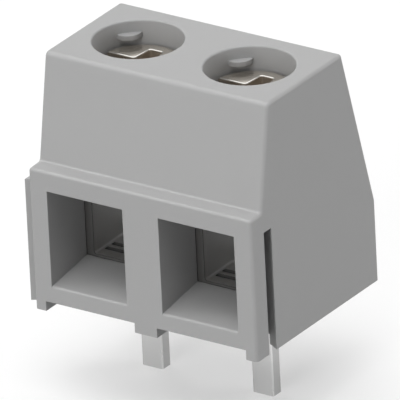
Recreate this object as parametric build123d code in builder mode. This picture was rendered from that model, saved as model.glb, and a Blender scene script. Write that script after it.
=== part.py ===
from build123d import *
from math import cos, pi, radians, sin, tan
import os

# Two-pole screw terminal block for a printed circuit board, millimetres.
# The origin lies on the board's surface, midway between the two solder pins.
# +Z points up out of the board and the wires go in at the front, towards +Y.

os.makedirs("parts", exist_ok=True)

# Poles
pitch = 5.0
pole_x = {"left": -pitch / 2, "right": pitch / 2}
screw_y = -0.12

# Housing, outer form
body_w = 2 * pitch
body_h = 10.0
body_d = 8.25
front_to_pins = 4.15
frame_h = 5.8
frame_d = 0.72
frame_rise = 0.03
top_setback = 1.48
top_d = 5.0
knee_h = 3.3
upright_edge_r = 0.14
frame_edge_r = 0.12
frame_root_r = 0.10
top_front_edge_r = 0.22
top_back_edge_r = 0.10
knee_r = 0.25

# Feet under the side walls and the middle wall
foot_h = 0.4
foot_w = 0.5

# Wire entries
entry_w = 3.4
sill_h = 1.07
entry_top = 5.0
sill_edge_r = 0.10
ramp_top = 1.42

# Screw wells and the nubs that keep the screws in
well_r = 1.75
well_edge_r = 0.06
nub_angle = 136.0
nub_r = 0.55
nub_in = 0.36
nub_h = 0.19
nub_gap = 0.26

# Dovetail rib on the left side and its groove on the right side
dovetail_angle = 30.0
groove_front = 0.81
groove_w = 0.49
groove_depth = 0.60
dovetail_h = 5.0
rib_gap = 0.035
rib_short = 0.05

# Clamp body, a strip folded into a box round the wire
strip_t = 0.4
clamp_w = 3.6
clamp_d = 3.2
clamp_inner_h = 3.1
wire_floor = 1.5
clamp_gap = 0.05
inner_fold_r = 0.10
tooth_pairs = 2
tooth_first = 0.6
tooth_step = 0.45
tooth_depth = 0.12

# Catches that keep each clamp body from dropping out of the housing
catch_w = 1.8
catch_h = 0.3
catch_in = 0.12
catch_gap = 0.02

# Clamp screws
thread_d = 2.5
thread_pitch = 0.45
thread_gap = 0.04
head_d = 3.3
head_h = 0.95
head_below_rim = 0.93
head_edge = 0.08
slot_w = 0.44
cross_w = 0.80
cross_end_w = 0.58
cross_l = 2.30
cross_corner_r = 0.10
recess_depth = 0.60
recess_corner_r = 0.18
spigot_d = 1.4
spigot_gap = 0.06
rivet_d = 2.0
rivet_h = 0.2
rivet_edge = 0.08
point_chamfer = 0.15

# Wire guards, the pressure plates that hang on the screws' spigots
guard_t = 0.4
guard_side_gap = 0.1
guard_nose = 0.1
guard_back_gap = 0.15
guard_lip_l = 0.4
guard_lip_angle = 35.0
guard_bend_r = 0.1
guard_gap = 0.05
closed_gap = 0.15

# Solder pins
pin_w = 0.88
pin_t = 0.5
pin_l = 3.52
pin_chamfer = 0.12
tenon_w = 0.7

# Places that follow from the sizes above
front_y = -front_to_pins
back_y = front_y + body_d
clamp_front_y = screw_y - clamp_d / 2
clamp_back_y = screw_y + clamp_d / 2
clamp_base = wire_floor - strip_t
plate_under = wire_floor + clamp_inner_h
clamp_top = plate_under + 2 * strip_t
inner_w = clamp_w - 2 * strip_t
fold_r = inner_fold_r + strip_t
head_top = body_h - head_below_rim
head_under = head_top - head_h
shank_end = plate_under - guard_gap
guard_top = shank_end - guard_gap
guard_under = guard_top - guard_t
rivet_top = guard_under - guard_gap
rivet_end = rivet_top - rivet_h
screw_travel = rivet_end - wire_floor - closed_gap


def dovetail(root_x, root_front_y, root_w, depth):
    """Give a dovetail's four corners in plan, widening from its root at root_x along depth."""
    flare = abs(depth) * tan(radians(dovetail_angle))
    return [
        (root_x, root_front_y),
        (root_x + depth, root_front_y - flare),
        (root_x + depth, root_front_y + root_w + flare),
        (root_x, root_front_y + root_w),
    ]


# Housing: one grey moulding with a wire entry, a chamber and a screw well for each pole
with BuildPart() as housing:
    # The side view, with each corner's radius, run across the full width
    side_view = [
        ((front_y, 0), 0),
        ((front_y, frame_h), frame_edge_r),
        ((front_y + frame_d, frame_h + frame_rise), frame_root_r),
        ((front_y + top_setback, body_h), top_front_edge_r),
        ((front_y + top_setback + top_d, body_h), top_back_edge_r),
        ((back_y, knee_h), knee_r),
        ((back_y, 0), 0),
    ]
    with BuildSketch(Plane.YZ.offset(-body_w / 2)):
        with BuildLine():
            FilletPolyline(*[p for p, r in side_view], radius=[r for p, r in side_view], close=True)
        make_face()
    extrude(amount=body_w)
    fillet(edges().filter_by(Axis.Z).group_by(Axis.Y)[0], upright_edge_r)

    # The rib that joins this block to the next, and the groove that takes the next one's rib
    rib_front_y = front_y + groove_front + rib_gap
    rib_w = groove_w - 2 * rib_gap
    with BuildSketch(Plane.XY):
        with BuildLine():
            Polyline(*dovetail(-body_w / 2, rib_front_y, rib_w, rib_short - groove_depth), close=True)
        make_face()
    extrude(amount=dovetail_h)
    with BuildSketch(Plane.XY):
        with BuildLine():
            Polyline(*dovetail(body_w / 2, front_y + groove_front, groove_w, -groove_depth), close=True)
        make_face()
    extrude(amount=dovetail_h, mode=Mode.SUBTRACT)

    for x in pole_x.values():
        # The underside stands off the board between the feet
        with BuildSketch(Plane.XY):
            with Locations((x, (front_y + back_y) / 2)):
                Rectangle(pitch - 2 * foot_w, body_d)
        extrude(amount=foot_h, mode=Mode.SUBTRACT)

        # The wire entry, whose floor ramps up to the clamp
        chamber_front_y = clamp_front_y - clamp_gap
        with BuildSketch(Plane.YZ.offset(x - entry_w / 2)):
            with BuildLine():
                Polyline(
                    (front_y, sill_h),
                    (front_y, entry_top),
                    (chamber_front_y, entry_top),
                    (chamber_front_y, ramp_top),
                    close=True,
                )
            make_face()
        extrude(amount=entry_w, mode=Mode.SUBTRACT)

        # The chamber, open below, where the clamp body goes in, and the screw well above it
        with BuildSketch(Plane.XY):
            with Locations((x, screw_y)):
                Rectangle(clamp_w + 2 * clamp_gap, clamp_d + 2 * clamp_gap)
        extrude(amount=clamp_top + clamp_gap, mode=Mode.SUBTRACT)
        with BuildSketch(Plane.XY.offset(clamp_top)):
            with Locations((x, screw_y)):
                Circle(well_r)
        extrude(amount=body_h - clamp_top, mode=Mode.SUBTRACT)

        # The two catches under the clamp body
        catch_top = clamp_base - catch_gap
        for wall_y, inward in ((chamber_front_y, 1), (clamp_back_y + clamp_gap, -1)):
            with BuildSketch(Plane.YZ.offset(x - catch_w / 2)):
                with BuildLine():
                    Polyline(
                        (wall_y, catch_top),
                        (wall_y + inward * catch_in, catch_top),
                        (wall_y, catch_top - catch_h),
                        close=True,
                    )
                make_face()
            extrude(amount=catch_w)

    fillet(edges().filter_by(GeomType.CIRCLE).group_by(Axis.Z)[-1], well_edge_r)
    sill_edges = edges().filter_by(Axis.X).group_by(Axis.Y)[0].filter_by_position(
        Axis.Z, sill_h / 2, (sill_h + entry_top) / 2
    )
    fillet(sill_edges, sill_edge_r)

    # Two round nubs across each well, just above the head of the raised screw
    for x in pole_x.values():
        with BuildSketch(Plane.XY.offset(head_top + nub_gap)):
            with Locations((x, screw_y)):
                with PolarLocations(well_r - nub_in + nub_r, 2, start_angle=nub_angle):
                    Circle(nub_r)
        extrude(amount=nub_h)

housing.part.label = "housing"
export_step(housing.part, "parts/housing.step")

# Clamp bodies: a strip folded round the wire space, with its ends lapped over the top
for side, x in pole_x.items():
    with BuildPart() as clamp_body:
        under_layer_top = plate_under + strip_t
        leg_x = x - clamp_w / 2
        lap_end_x = x + clamp_w / 2 - fold_r
        outer_layer = [
            ((leg_x, under_layer_top - fold_r), 0),
            ((leg_x, clamp_top), fold_r),
            ((lap_end_x, clamp_top), 0),
            ((lap_end_x, under_layer_top), 0),
            ((leg_x + fold_r, under_layer_top), 0),
        ]
        with BuildSketch(Plane.XZ.offset(-clamp_front_y)):
            with Locations((x, (clamp_base + under_layer_top) / 2)):
                RectangleRounded(clamp_w, under_layer_top - clamp_base, fold_r)
            # The left leg runs one layer higher, folds over and stops where the right leg's fold begins
            with BuildLine():
                FilletPolyline(*[p for p, r in outer_layer], radius=[r for p, r in outer_layer], close=True)
            make_face()
            with Locations((x, (wire_floor + plate_under) / 2)):
                RectangleRounded(inner_w, clamp_inner_h, inner_fold_r, mode=Mode.SUBTRACT)
        extrude(amount=-clamp_d)

        # The tapped hole, drawn at the thread's outer diameter with its running gap
        with BuildSketch(Plane.XY.offset(plate_under)):
            with Locations((x, screw_y)):
                Circle(thread_d / 2 + thread_gap)
        extrude(amount=2 * strip_t, mode=Mode.SUBTRACT)

        # The hole that the pin's tenon is riveted in
        with BuildSketch(Plane.XY.offset(clamp_base)):
            with Locations((x, 0)):
                Rectangle(tenon_w, pin_t)
        extrude(amount=strip_t, mode=Mode.SUBTRACT)

        # Teeth across the floor, before and behind the pin, that bite the wire
        for i in range(tooth_pairs):
            for y in (tooth_first + i * tooth_step, -tooth_first - i * tooth_step):
                with BuildSketch(Plane.YZ.offset(x - inner_w / 2)):
                    with BuildLine():
                        Polyline(
                            (y - tooth_depth, wire_floor),
                            (y, wire_floor - tooth_depth),
                            (y + tooth_depth, wire_floor),
                            close=True,
                        )
                    make_face()
                extrude(amount=inner_w, mode=Mode.SUBTRACT)
    clamp_body.part.label = f"clamp_body_{side}"
    export_step(clamp_body.part, f"parts/clamp_body_{side}.step")

# Solder pins: stamped flat, with a pointed end and a tenon that fills its hole in the clamp body
for side, x in pole_x.items():
    with BuildPart() as solder_pin:
        with BuildSketch(Plane.XY.offset(-pin_l)):
            with Locations((x, 0)):
                Rectangle(pin_w, pin_t)
        extrude(amount=pin_l + clamp_base)
        chamfer(faces().sort_by(Axis.Z)[0].edges(), pin_chamfer)
        with BuildSketch(Plane.XY.offset(clamp_base)):
            with Locations((x, 0)):
                Rectangle(tenon_w, pin_t)
        extrude(amount=strip_t)
    solder_pin.part.label = f"solder_pin_{side}"
    export_step(solder_pin.part, f"parts/solder_pin_{side}.step")

# Clamp screws: turned with a head, a shank and a riveted spigot, with the recess pressed in
for side, x in pole_x.items():
    with BuildPart() as clamp_screw:
        with BuildSketch(Plane(origin=(x, screw_y, 0), x_dir=(1, 0, 0), z_dir=(0, -1, 0))):
            with BuildLine():
                Polyline(
                    (0, rivet_end),
                    (rivet_d / 2 - rivet_edge, rivet_end),
                    (rivet_d / 2, rivet_end + rivet_edge),
                    (rivet_d / 2, rivet_top),
                    (spigot_d / 2, rivet_top),
                    (spigot_d / 2, shank_end),
                    (thread_d / 2 - point_chamfer, shank_end),
                    (thread_d / 2, shank_end + point_chamfer),
                    (thread_d / 2, head_under),
                    (head_d / 2, head_under),
                    (head_d / 2, head_top - head_edge),
                    (head_d / 2 - head_edge, head_top),
                    (0, head_top),
                    close=True,
                )
            make_face()
        revolve(axis=Axis((x, screw_y, 0), (0, 0, 1)))

        # The recess, a slot right across the head and a blind cross arm that narrows to its ends
        cross_arm = [
            ((-cross_w / 2, 0), 0),
            ((-cross_end_w / 2, cross_l / 2), cross_corner_r),
            ((cross_end_w / 2, cross_l / 2), cross_corner_r),
            ((cross_w / 2, 0), 0),
            ((cross_end_w / 2, -cross_l / 2), cross_corner_r),
            ((-cross_end_w / 2, -cross_l / 2), cross_corner_r),
        ]
        with BuildSketch(Plane(origin=(x, screw_y, head_top))):
            Rectangle(2 * head_d, slot_w)
            with BuildLine():
                FilletPolyline(*[p for p, r in cross_arm], radius=[r for p, r in cross_arm], close=True)
            make_face()
            near_arm = vertices().filter_by_position(Axis.X, -cross_w, cross_w)
            fillet(near_arm.filter_by_position(Axis.Y, -slot_w, slot_w), recess_corner_r)
        extrude(amount=-recess_depth, mode=Mode.SUBTRACT)
    clamp_screw.part.label = f"clamp_screw_{side}"
    export_step(clamp_screw.part, f"parts/clamp_screw_{side}.step")

# Wire guards: plates that the screws press on the wires, with a lip turned up at the entry
lip = radians(guard_lip_angle)
guard_w = inner_w - 2 * guard_side_gap
guard_front_y = clamp_front_y - guard_nose
guard_back_y = clamp_back_y - guard_back_gap
tip_y = guard_front_y - guard_lip_l * cos(lip)
tip_z = guard_under + guard_lip_l * sin(lip)
for side, x in pole_x.items():
    with BuildPart() as wire_guard:
        with BuildSketch(Plane.YZ.offset(x - guard_w / 2)):
            with BuildLine():
                FilletPolyline(
                    (guard_back_y, guard_under),
                    (guard_front_y, guard_under),
                    (tip_y, tip_z),
                    (tip_y + guard_t * sin(lip), tip_z + guard_t * cos(lip)),
                    (guard_front_y + guard_t * tan(lip / 2), guard_top),
                    (guard_back_y, guard_top),
                    radius=[0, guard_t + guard_bend_r, 0, 0, guard_bend_r, 0],
                    close=True,
                )
            make_face()
        extrude(amount=guard_w)
        with BuildSketch(Plane.XY.offset(guard_under)):
            with Locations((x, screw_y)):
                Circle(spigot_d / 2 + spigot_gap)
        extrude(amount=guard_t, mode=Mode.SUBTRACT)
    wire_guard.part.label = f"wire_guard_{side}"
    export_step(wire_guard.part, f"parts/wire_guard_{side}.step")

print(f"screw travel {screw_travel:.3f} mm, {screw_travel / thread_pitch:.3f} turns")
print(f"lift for each radian {thread_pitch / (2 * pi):.6f} mm")
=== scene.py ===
from math import cos, pi, radians, sin

import bmesh
import bpy
from mathutils import Matrix, Vector


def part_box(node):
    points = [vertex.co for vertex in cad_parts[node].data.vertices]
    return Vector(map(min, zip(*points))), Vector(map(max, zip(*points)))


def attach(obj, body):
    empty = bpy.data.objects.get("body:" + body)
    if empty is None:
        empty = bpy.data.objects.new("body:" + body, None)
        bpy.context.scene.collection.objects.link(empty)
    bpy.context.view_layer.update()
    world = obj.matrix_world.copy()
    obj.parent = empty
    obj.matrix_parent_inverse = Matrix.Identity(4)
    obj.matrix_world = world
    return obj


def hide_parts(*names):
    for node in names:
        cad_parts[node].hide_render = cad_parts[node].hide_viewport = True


# Two-pole screw terminal block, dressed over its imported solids. Everything is in metres, with the
# origin on the board's surface between the solder pins, +Z up and the wires entering towards +Y.
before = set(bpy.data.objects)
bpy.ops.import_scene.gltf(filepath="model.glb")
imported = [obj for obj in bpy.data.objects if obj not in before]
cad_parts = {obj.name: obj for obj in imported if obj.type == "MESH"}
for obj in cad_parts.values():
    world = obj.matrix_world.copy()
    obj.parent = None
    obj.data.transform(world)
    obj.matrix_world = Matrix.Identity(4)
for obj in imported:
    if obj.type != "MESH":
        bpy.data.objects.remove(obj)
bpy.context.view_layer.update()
mm = 0.001
sides = ("left", "right")

# Solder pins. Each is stamped from flat brass strip and tin plated. Its right-hand rounded corners
# carry a painted highlight, a lighter tin, and its flat sides and left-hand corners carry painted
# shade, a darker tin. A narrower tenon at its top is riveted in the clamp body's floor.
pin_x = {"left": -2.5 * mm, "right": 2.5 * mm}
pin_edge = 0.05 * mm
pin_edge_steps = 4
pin_crease = radians(40)
tin_colour = (0.67, 0.67, 0.667, 1)
# Painted highlight for the right-hand corners, then painted shade for the flat sides and left-hand
# corners
highlit_corner_colour = (0.76, 0.76, 0.755, 1)
shaded_side_colour = (0.51, 0.51, 0.508, 1)
tin_grain = 9000
pits_across_cloud = 12
pit_depth = 0.01 * mm
# How far sideways a face looks where a rounded corner begins, and on a flat side
corner_turn, side_turn = 0.1, 0.985
# Each row is a height, half the width and half the thickness there
pin_rows = [
    (-3.52 * mm, 0.45 * mm, 0.25 * mm),
    (-3.516 * mm, 0.459 * mm, 0.259 * mm),
    (-3.505 * mm, 0.465 * mm, 0.265 * mm),
    (-2.0 * mm, 0.465 * mm, 0.265 * mm),
    (-0.5 * mm, 0.465 * mm, 0.265 * mm),
    (1.09 * mm, 0.465 * mm, 0.265 * mm),
    (1.10 * mm, 0.455 * mm, 0.255 * mm),
    (1.10 * mm, 0.35 * mm, 0.24 * mm),
    (1.48 * mm, 0.35 * mm, 0.24 * mm),
    (1.50 * mm, 0.33 * mm, 0.22 * mm),
]


def new_material(name):
    """Start a material and give back it, its nodes, its links and its shader."""
    material = bpy.data.materials.new(name)
    material.use_nodes = True
    tree = material.node_tree
    return material, tree.nodes, tree.links, tree.nodes["Principled BSDF"]


def plated(name, colour, roughness, grain, unevenness, metal=1.0):
    """Make a metal finish whose roughness wanders and whose skin is finely pitted."""
    material, nodes, links, shader = new_material(name)
    shader.inputs["Base Color"].default_value = colour
    shader.inputs["Metallic"].default_value = metal
    place = nodes.new("ShaderNodeTexCoord")
    cloud = nodes.new("ShaderNodeTexNoise")
    cloud.inputs["Scale"].default_value = grain / pits_across_cloud
    cloud.inputs["Detail"].default_value = 3
    spread = nodes.new("ShaderNodeMapRange")
    spread.inputs["To Min"].default_value = roughness - unevenness
    spread.inputs["To Max"].default_value = roughness + unevenness
    pits = nodes.new("ShaderNodeTexNoise")
    pits.inputs["Scale"].default_value = grain
    pits.inputs["Detail"].default_value = 2
    bump = nodes.new("ShaderNodeBump")
    bump.inputs["Strength"].default_value = 0.12
    bump.inputs["Distance"].default_value = pit_depth
    links.new(place.outputs["Object"], cloud.inputs["Vector"])
    links.new(place.outputs["Object"], pits.inputs["Vector"])
    links.new(cloud.outputs["Fac"], spread.inputs["Value"])
    links.new(spread.outputs["Result"], shader.inputs["Roughness"])
    links.new(pits.outputs["Fac"], bump.inputs["Height"])
    links.new(bump.outputs["Normal"], shader.inputs["Normal"])
    return material


def stamped_pin(name, x):
    """Lay a ring with round corners at each row's height, and join the rings into a pin."""
    work = bmesh.new()
    rings = []
    for z, half_w, half_t in pin_rows:
        ring = []
        for turn in range(4):
            to_x, to_y = ((1, 1), (-1, 1), (-1, -1), (1, -1))[turn]
            corner_x = x + to_x * (half_w - pin_edge)
            corner_y = to_y * (half_t - pin_edge)
            for step in range(pin_edge_steps + 1):
                a = radians(90 * (turn + step / pin_edge_steps))
                point = (corner_x + pin_edge * cos(a), corner_y + pin_edge * sin(a), z)
                ring.append(work.verts.new(point))
        rings.append(ring)
    for lower, upper in zip(rings, rings[1:]):
        for i in range(len(lower)):
            k = (i + 1) % len(lower)
            work.faces.new((lower[i], lower[k], upper[k], upper[i]))
    work.faces.new(list(reversed(rings[0])))
    work.faces.new(rings[-1])
    mesh = bpy.data.meshes.new(name)
    work.to_mesh(mesh)
    work.free()
    mesh.shade_smooth()
    mesh.set_sharp_from_angle(angle=pin_crease)
    piece = bpy.data.objects.new(name, mesh)
    bpy.context.scene.collection.objects.link(piece)
    return piece


tin = plated("tin plate", tin_colour, 0.40, tin_grain, 0.05)
highlit_corner = plated("tin corner with painted highlight", highlit_corner_colour, 0.28, tin_grain, 0.05)
shaded_side = plated("tin side with painted shade", shaded_side_colour, 0.45, tin_grain, 0.05)
for side in sides:
    pin = stamped_pin("stamped_pin_" + side, pin_x[side])
    for finish in (tin, highlit_corner, shaded_side):
        pin.data.materials.append(finish)
    # Right-hand corners take the painted highlight, flat sides and left-hand corners the painted
    # shade
    for face in pin.data.polygons:
        if abs(face.normal.x) > side_turn or face.normal.x < -corner_turn:
            face.material_index = 2
        elif face.normal.x > corner_turn:
            face.material_index = 1
    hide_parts("solder_pin_" + side)
    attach(pin, "block")

# Clamp bodies. Each is a nickel-plated brass strip folded into a box, its ends lapped over the top
# and tapped for the screw. Its cut edges, the faces that look front and back, are painted nearly
# black as the shade deep in the wire entry. It sits in the housing behind the wire entry.
strip_edge = 0.04 * mm
weld_gap = 0.0005 * mm
flat_within = radians(0.3)
edge_crease = radians(28)
painted_shade_turn = 0.3
nickel_colour = (0.60, 0.595, 0.585, 1)
# Nearly black: painted shade on the faces that look front and back
painted_shade_edge_colour = (0.10, 0.098, 0.095, 1)


def edge_finished(node, radius, segments=2):
    """Copy a node's mesh, weld its triangles and round every sharp edge."""
    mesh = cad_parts[node].data.copy()
    work = bmesh.new()
    work.from_mesh(mesh)
    bmesh.ops.remove_doubles(work, verts=work.verts, dist=weld_gap)
    bmesh.ops.dissolve_limit(work, angle_limit=flat_within, verts=work.verts, edges=work.edges)
    work.to_mesh(mesh)
    work.free()
    piece = bpy.data.objects.new(node + "_finished", mesh)
    bpy.context.scene.collection.objects.link(piece)
    bevel = piece.modifiers.new("rounded edges", "BEVEL")
    bevel.width = radius
    bevel.segments = segments
    bevel.limit_method = "ANGLE"
    bevel.angle_limit = edge_crease
    bevel.use_clamp_overlap = False
    bevel.harden_normals = False
    seen = piece.evaluated_get(bpy.context.evaluated_depsgraph_get())
    finished = bpy.data.meshes.new_from_object(seen)
    piece.modifiers.clear()
    piece.data = finished
    finished.shade_smooth()
    finished.set_sharp_from_angle(angle=edge_crease)
    finished.materials.clear()
    return piece


nickel = plated("dull nickel plate", nickel_colour, 0.42, 6000, 0.06, metal=0.8)
painted_shade_edge = plated("edge with painted shade", painted_shade_edge_colour, 0.62, 9000, 0.06, metal=0.3)
for side in sides:
    clamp = edge_finished("clamp_body_" + side, strip_edge)
    clamp.data.materials.append(nickel)
    clamp.data.materials.append(painted_shade_edge)
    # Faces that look front or back take the painted shade
    for face in clamp.data.polygons:
        face.material_index = int(abs(face.normal.y) > painted_shade_turn)
    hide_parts("clamp_body_" + side)
    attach(clamp, "block")

# Wire guards. Each is bent from spring steel and riveted loosely on the screw's spigot, so
# that it goes up and down with the screw and doesn't turn.
guard_edge = 0.03 * mm
steel_colour = (0.30, 0.30, 0.297, 1)
spring_steel = plated("spring steel", steel_colour, 0.50, 7000, 0.05, metal=0.7)
for side in sides:
    guard = edge_finished("wire_guard_" + side, guard_edge)
    guard.data.materials.append(spring_steel)
    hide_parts("wire_guard_" + side)
    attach(guard, "guard_" + side)

# Clamp screws. Each is cold-headed and thread-rolled in steel, M2.5 with a pitch of 0.45 mm, and
# plated a warm nickel colour. Its recess is painted darker and duller as shade, and the recess's
# rounded edges are painted near white as a highlight.
# The spigot below the thread is riveted loosely in the wire guard.
recess_edge = 0.045 * mm
screw_colour = (0.68, 0.635, 0.57, 1)
# Painted highlight for the recess's rounded edges, then painted shade for the recess
highlight_edge_colour = (0.97, 0.95, 0.90, 1)
shaded_recess_colour = (0.50, 0.44, 0.375, 1)
recess_depth = 0.6 * mm
flat_top_turn = 0.98
hair = 0.01 * mm
thread_d = 2.5 * mm
thread_pitch = 0.45 * mm
thread_depth = 0.276 * mm
thread_chamfer = 0.15 * mm
core_r = 0.9 * mm
shank_low, shank_high = 4.55 * mm, 8.12 * mm
shank_slack = 0.06 * mm
thread_crease = radians(32)
screw_place = {"left": (-2.5 * mm, -0.12 * mm), "right": (2.5 * mm, -0.12 * mm)}
screw_plate = plated("warm nickel plate", screw_colour, 0.20, 8000, 0.04, metal=0.88)
highlight_edge = plated("recess edge with painted highlight", highlight_edge_colour, 0.18, 8000, 0.04)
shaded_recess = plated("recess with painted shade", shaded_recess_colour, 0.34, 8000, 0.06, metal=0.8)


def rolled_thread_tree():
    """Build the tree of a closed right-hand thread with a chamfered point, on its own axis."""
    tree = bpy.data.node_groups.new("rolled thread", "GeometryNodeTree")
    sizes = ("Outer Diameter", "Pitch", "Depth", "Low End", "High End", "Point Chamfer")
    for name in sizes:
        tree.interface.new_socket(name, in_out="INPUT", socket_type="NodeSocketFloat")
    for name in ("Around", "Rows a Turn", "Turns"):
        tree.interface.new_socket(name, in_out="INPUT", socket_type="NodeSocketInt")
    tree.interface.new_socket("Axis Place", in_out="INPUT", socket_type="NodeSocketVector")
    tree.interface.new_socket("Finish", in_out="INPUT", socket_type="NodeSocketMaterial")
    tree.interface.new_socket("Geometry", in_out="OUTPUT", socket_type="NodeSocketGeometry")
    given = tree.nodes.new("NodeGroupInput").outputs
    out = tree.nodes.new("NodeGroupOutput")

    def join(value, socket):
        if isinstance(value, (int, float)):
            socket.default_value = value
        else:
            tree.links.new(value, socket)

    def sum_of(operation, *values):
        node = tree.nodes.new("ShaderNodeMath")
        node.operation = operation
        for value, socket in zip(values, node.inputs):
            join(value, socket)
        return node.outputs[0]

    # A flat grid, whose columns go once round the screw and whose rows follow the thread upwards.
    # Its rows begin two turns below the low end and are held at it, so that the point is whole.
    turns_below = 2
    end_row = 0.4999
    rows =sum_of("MULTIPLY", given["Rows a Turn"], given["Turns"])
    grid = tree.nodes.new("GeometryNodeMeshGrid")
    join(sum_of("ADD", given["Around"], 1), grid.inputs["Vertices X"])
    join(sum_of("ADD", rows, 1), grid.inputs["Vertices Y"])
    flat = tree.nodes.new("ShaderNodeSeparateXYZ")
    join(tree.nodes.new("GeometryNodeInputPosition").outputs[0], flat.inputs[0])
    round_part = sum_of("ADD", flat.outputs["X"], 0.5)
    turns_up = sum_of("MULTIPLY", sum_of("ADD", flat.outputs["Y"], 0.5), given["Turns"])
    turned = sum_of("ADD", sum_of("SUBTRACT", turns_up, turns_below), round_part)
    height = sum_of("ADD", given["Low End"], sum_of("MULTIPLY", turned, given["Pitch"]))
    height = sum_of("MINIMUM", sum_of("MAXIMUM", height, given["Low End"]), given["High End"])
    above = sum_of("SUBTRACT", height, given["Low End"])

    # The thread's section: a narrow crest, 60 degree flanks and a narrow root
    pitches_up = sum_of("DIVIDE", above, given["Pitch"])
    along = sum_of("FRACT", sum_of("SUBTRACT", pitches_up, round_part))
    from_root = sum_of("ABSOLUTE", sum_of("SUBTRACT", sum_of("MULTIPLY", along, 2), 1))
    flank = tree.nodes.new("ShaderNodeMapRange")
    join(from_root, flank.inputs["Value"])
    flank.inputs["From Min"].default_value = 0.2
    flank.inputs["From Max"].default_value = 0.9
    outer_r = sum_of("DIVIDE", given["Outer Diameter"], 2)
    root_r = sum_of("SUBTRACT", outer_r, given["Depth"])
    radius = sum_of("ADD", root_r, sum_of("MULTIPLY", flank.outputs["Result"], given["Depth"]))
    point_r = sum_of("ADD", sum_of("SUBTRACT", outer_r, given["Point Chamfer"]), above)
    radius = sum_of("MINIMUM", radius, point_r)

    # The first and the last row shrink to the axis and close the ends
    inner = sum_of("LESS_THAN", sum_of("ABSOLUTE", flat.outputs["Y"]), end_row)
    radius = sum_of("MULTIPLY", radius, inner)
    angle = sum_of("MULTIPLY", round_part, 2 * pi)
    place = tree.nodes.new("ShaderNodeCombineXYZ")
    join(sum_of("MULTIPLY", radius, sum_of("COSINE", angle)), place.inputs["X"])
    join(sum_of("MULTIPLY", radius, sum_of("SINE", angle)), place.inputs["Y"])
    join(height, place.inputs["Z"])
    on_axis = tree.nodes.new("ShaderNodeVectorMath")
    join(place.outputs[0], on_axis.inputs[0])
    join(given["Axis Place"], on_axis.inputs[1])
    wrap = tree.nodes.new("GeometryNodeSetPosition")
    join(grid.outputs["Mesh"], wrap.inputs["Geometry"])
    join(on_axis.outputs[0], wrap.inputs["Position"])
    weld = tree.nodes.new("GeometryNodeMergeByDistance")
    weld.inputs["Distance"].default_value = weld_gap
    join(wrap.outputs[0], weld.inputs["Geometry"])
    real = tree.nodes.new("GeometryNodeRealizeInstances")
    join(weld.outputs[0], real.inputs[0])
    finish = tree.nodes.new("GeometryNodeSetMaterial")
    join(real.outputs[0], finish.inputs["Geometry"])
    join(given["Finish"], finish.inputs["Material"])
    join(finish.outputs[0], out.inputs["Geometry"])
    return tree


thread_tree = rolled_thread_tree()
for side in sides:
    x, y = screw_place[side]
    axis = Vector((x, y))
    screw = edge_finished("clamp_screw_" + side, recess_edge, segments=3)
    corners = screw.data.vertices
    head_top = max(corner.co.z for corner in corners)
    head_r = max((corner.co.xy - axis).length for corner in corners)

    # The plain shank is drawn in under the thread that covers it
    for corner in corners:
        from_axis = corner.co.xy - axis
        on_shank = shank_low - hair < corner.co.z < shank_high + shank_slack
        if on_shank and core_r < from_axis.length < thread_d / 2 + shank_slack:
            corner.co.xy = axis + from_axis.normalized() * core_r
    for finish in (screw_plate, highlight_edge, shaded_recess):
        screw.data.materials.append(finish)
    # Faces on the recess's rounded edges take the painted highlight, faces further down in the
    # recess the painted shade
    for face in screw.data.polygons:
        below = head_top - face.center.z
        inside = (face.center.xy - axis).length < head_r - 2 * recess_edge
        if inside and below < recess_edge and face.normal.z < flat_top_turn:
            face.material_index = 1
        elif inside and recess_edge < below < recess_depth + hair:
            face.material_index = 2
    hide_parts("clamp_screw_" + side)
    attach(screw, "screw_" + side)

    name = "screw_thread_" + side
    thread = bpy.data.objects.new(name, bpy.data.meshes.new(name))
    bpy.context.scene.collection.objects.link(thread)
    rolling = thread.modifiers.new("rolled thread", "NODES")
    rolling.node_group = thread_tree
    made = {
        "Outer Diameter": thread_d,
        "Pitch": thread_pitch,
        "Depth": thread_depth,
        "Low End": shank_low,
        "High End": shank_high,
        "Point Chamfer": thread_chamfer,
        "Around": 40,
        "Rows a Turn": 10,
        "Turns": 12,
        "Axis Place": (x, y, 0),
        "Finish": screw_plate,
    }
    for socket in thread_tree.interface.items_tree:
        if socket.name in made:
            rolling[socket.identifier] = made[socket.name]
    seen = thread.evaluated_get(bpy.context.evaluated_depsgraph_get())
    rolled = bpy.data.meshes.new_from_object(seen)
    thread.modifiers.clear()
    thread.data = rolled
    rolled.shade_smooth()
    rolled.set_sharp_from_angle(angle=thread_crease)
    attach(thread, "screw_" + side)

# Housing. It is one moulding in grey polyamide, matte from a finely spark-eroded mould. Its solid
# has every rounding that shows, so it stays, and the bevel only softens the light on its edges.
moulded_edge = 0.03 * mm
spark_depth = 0.006 * mm
grey_thin = (0.402, 0.402, 0.402, 1)
grey_full = (0.418, 0.418, 0.418, 1)
grey, nodes, links, shader = new_material("grey moulded polyamide")
shader.inputs["Specular IOR Level"].default_value = 0.25
place = nodes.new("ShaderNodeTexCoord")
flow = nodes.new("ShaderNodeTexNoise")
flow.inputs["Scale"].default_value = 700
flow.inputs["Detail"].default_value = 4
shade = nodes.new("ShaderNodeMix")
shade.data_type = "RGBA"
shade.inputs["A"].default_value = grey_thin
shade.inputs["B"].default_value = grey_full
sheen = nodes.new("ShaderNodeMapRange")
sheen.inputs["To Min"].default_value = 0.56
sheen.inputs["To Max"].default_value = 0.68
spark = nodes.new("ShaderNodeTexNoise")
spark.inputs["Scale"].default_value = 22000
spark.inputs["Detail"].default_value = 3
spark.inputs["Roughness"].default_value = 0.6
softened = nodes.new("ShaderNodeBevel")
softened.samples = 6
softened.inputs["Radius"].default_value = moulded_edge
skin = nodes.new("ShaderNodeBump")
skin.inputs["Strength"].default_value = 0.10
skin.inputs["Distance"].default_value = spark_depth
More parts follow.
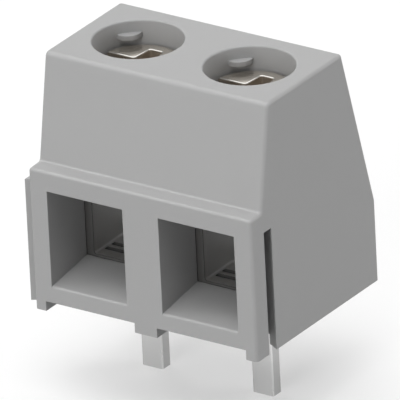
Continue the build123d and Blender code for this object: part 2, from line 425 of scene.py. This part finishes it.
for cloud in (flow, spark):
    links.new(place.outputs["Object"], cloud.inputs["Vector"])
links.new(flow.outputs["Fac"], shade.inputs["Factor"])
links.new(shade.outputs["Result"], shader.inputs["Base Color"])
links.new(flow.outputs["Fac"], sheen.inputs["Value"])
links.new(sheen.outputs["Result"], shader.inputs["Roughness"])
links.new(spark.outputs["Fac"], skin.inputs["Height"])
links.new(softened.outputs["Normal"], skin.inputs["Normal"])
links.new(skin.outputs["Normal"], shader.inputs["Normal"])
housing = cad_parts["housing"]
housing.material_slots[0].material = grey
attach(housing, "block")

# Stage: a white table under the pins' tips, a white backdrop and soft lamps round the block. To the
# eye and to mirrors the table is half lit from within, so its shadow stays pale, and the light that
# it throws back is a plain pale grey's. From below, the camera sees past it.
table_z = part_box("solder_pin_left")[0].z
table_half = 0.4
table_glow = 0.46
table_white = (0.53, 0.53, 0.53, 1)
table_thrown = (0.46, 0.46, 0.46, 1)


def seen_by_eye(nodes, links, path):
    """Give back an output that is 1 for rays of the camera, off mirrors and through glass."""
    seen = path.outputs["Is Camera Ray"]
    for kind in ("Is Glossy Ray", "Is Transmission Ray"):
        either = nodes.new("ShaderNodeMath")
        either.operation = "MAXIMUM"
        links.new(seen, either.inputs[0])
        links.new(path.outputs[kind], either.inputs[1])
        seen = either.outputs["Value"]
    return seen


def direction(azimuth, elevation):
    """Give back the way to a place round the block, with azimuth 0 in front of the entries."""
    a, e = radians(azimuth), radians(elevation)
    return Vector((sin(a) * cos(e), -cos(a) * cos(e), sin(e)))


paper, nodes, links, shader = new_material("white table")
shader.inputs["Roughness"].default_value = 0.9
shader.inputs["Specular IOR Level"].default_value = 0.0
shader.inputs["Emission Color"].default_value = (1, 1, 1, 1)
path = nodes.new("ShaderNodeLightPath")
seen = seen_by_eye(nodes, links, path)
tone = nodes.new("ShaderNodeMix")
tone.data_type = "RGBA"
tone.inputs["A"].default_value = table_thrown
tone.inputs["B"].default_value = table_white
glow = nodes.new("ShaderNodeMath")
glow.operation = "MULTIPLY"
glow.inputs[1].default_value = table_glow
facing = nodes.new("ShaderNodeNewGeometry")
from_below = nodes.new("ShaderNodeMath")
from_below.operation = "MULTIPLY"
clear = nodes.new("ShaderNodeBsdfTransparent")
one_sided = nodes.new("ShaderNodeMixShader")
links.new(seen, tone.inputs["Factor"])
links.new(seen, glow.inputs[0])
links.new(tone.outputs["Result"], shader.inputs["Base Color"])
links.new(glow.outputs["Value"], shader.inputs["Emission Strength"])
links.new(facing.outputs["Backfacing"], from_below.inputs[0])
links.new(path.outputs["Is Camera Ray"], from_below.inputs[1])
links.new(from_below.outputs["Value"], one_sided.inputs["Fac"])
links.new(shader.outputs["BSDF"], one_sided.inputs[1])
links.new(clear.outputs["BSDF"], one_sided.inputs[2])
links.new(one_sided.outputs["Shader"], nodes["Material Output"].inputs["Surface"])

table_mesh = bpy.data.meshes.new("table")
turned = ((-1, -1), (1, -1), (1, 1), (-1, 1))
table_corners = [(x * table_half, y * table_half, table_z) for x, y in turned]
table_mesh.from_pydata(table_corners, [], [(0, 1, 2, 3)])
table_mesh.materials.append(paper)
table = bpy.data.objects.new("table", table_mesh)
bpy.context.scene.collection.objects.link(table)

world = bpy.data.worlds.new("white backdrop")
world.use_nodes = True
bpy.context.scene.world = world
nodes, links = world.node_tree.nodes, world.node_tree.links
backdrop = nodes["Background"]
backdrop.inputs["Color"].default_value = (1, 1, 1, 1)
path = nodes.new("ShaderNodeLightPath")
links.new(seen_by_eye(nodes, links, path), backdrop.inputs["Strength"])

# The lamps light everything and shine on nothing, so that bare metal doesn't burn out. The edge
# shine only gives the plastic its gloss.
lamps = {
    "low front": {"azimuth": 0, "elevation": 12, "strength": 1.65, "softness": 35},
    "low right back": {"azimuth": 125, "elevation": 12, "strength": 1.27, "softness": 35},
    "low left back": {"azimuth": -120, "elevation": 12, "strength": 0.95, "softness": 35},
    "high front": {"azimuth": 30, "elevation": 70, "strength": 1.16, "softness": 40},
    "high left": {"azimuth": -110, "elevation": 70, "strength": 1.52, "softness": 60},
    "edge shine": {"azimuth": -61, "elevation": 62, "strength": 5.5, "softness": 12},
}
plastic = bpy.data.collections.new("plastic")
plastic.objects.link(housing)
for name, lamp in lamps.items():
    light = bpy.data.lights.new(name, "SUN")
    light.energy = lamp["strength"]
    light.angle = radians(lamp["softness"])
    sun = bpy.data.objects.new(name, light)
    towards = direction(lamp["azimuth"], lamp["elevation"])
    sun.rotation_mode = "QUATERNION"
    sun.rotation_quaternion = towards.to_track_quat("Z", "Y")
    is_shine = name == "edge shine"
    sun.visible_glossy = is_shine
    sun.visible_diffuse = not is_shine
    if is_shine:
        sun.light_linking.receiver_collection = plastic
    bpy.context.scene.collection.objects.link(sun)

# Camera. It has a very long lens, because the photograph has almost no perspective, and it looks
# down on the front right corner, turned a little about its own axis.
azimuth, elevation, roll = 34.951, 24.913, -2.873
aim = Vector((-0.1396, 0, 3.837)) * mm
distance = 706.79 * mm
lens_length = 1700
sees_as_far_as = 10
back = direction(azimuth, elevation)
turn = Matrix.Rotation(radians(roll), 3, "Z").to_quaternion()
camera_data = bpy.data.cameras.new("camera")
camera_data.lens = lens_length
camera_data.clip_end = sees_as_far_as
camera = bpy.data.objects.new("camera", camera_data)
camera.location = aim + back * distance
camera.rotation_mode = "QUATERNION"
camera.rotation_quaternion = (-back).to_track_quat("-Z", "Y") @ turn
bpy.context.scene.collection.objects.link(camera)
bpy.context.scene.camera = camera

bpy.context.scene.view_settings.view_transform = "Standard"
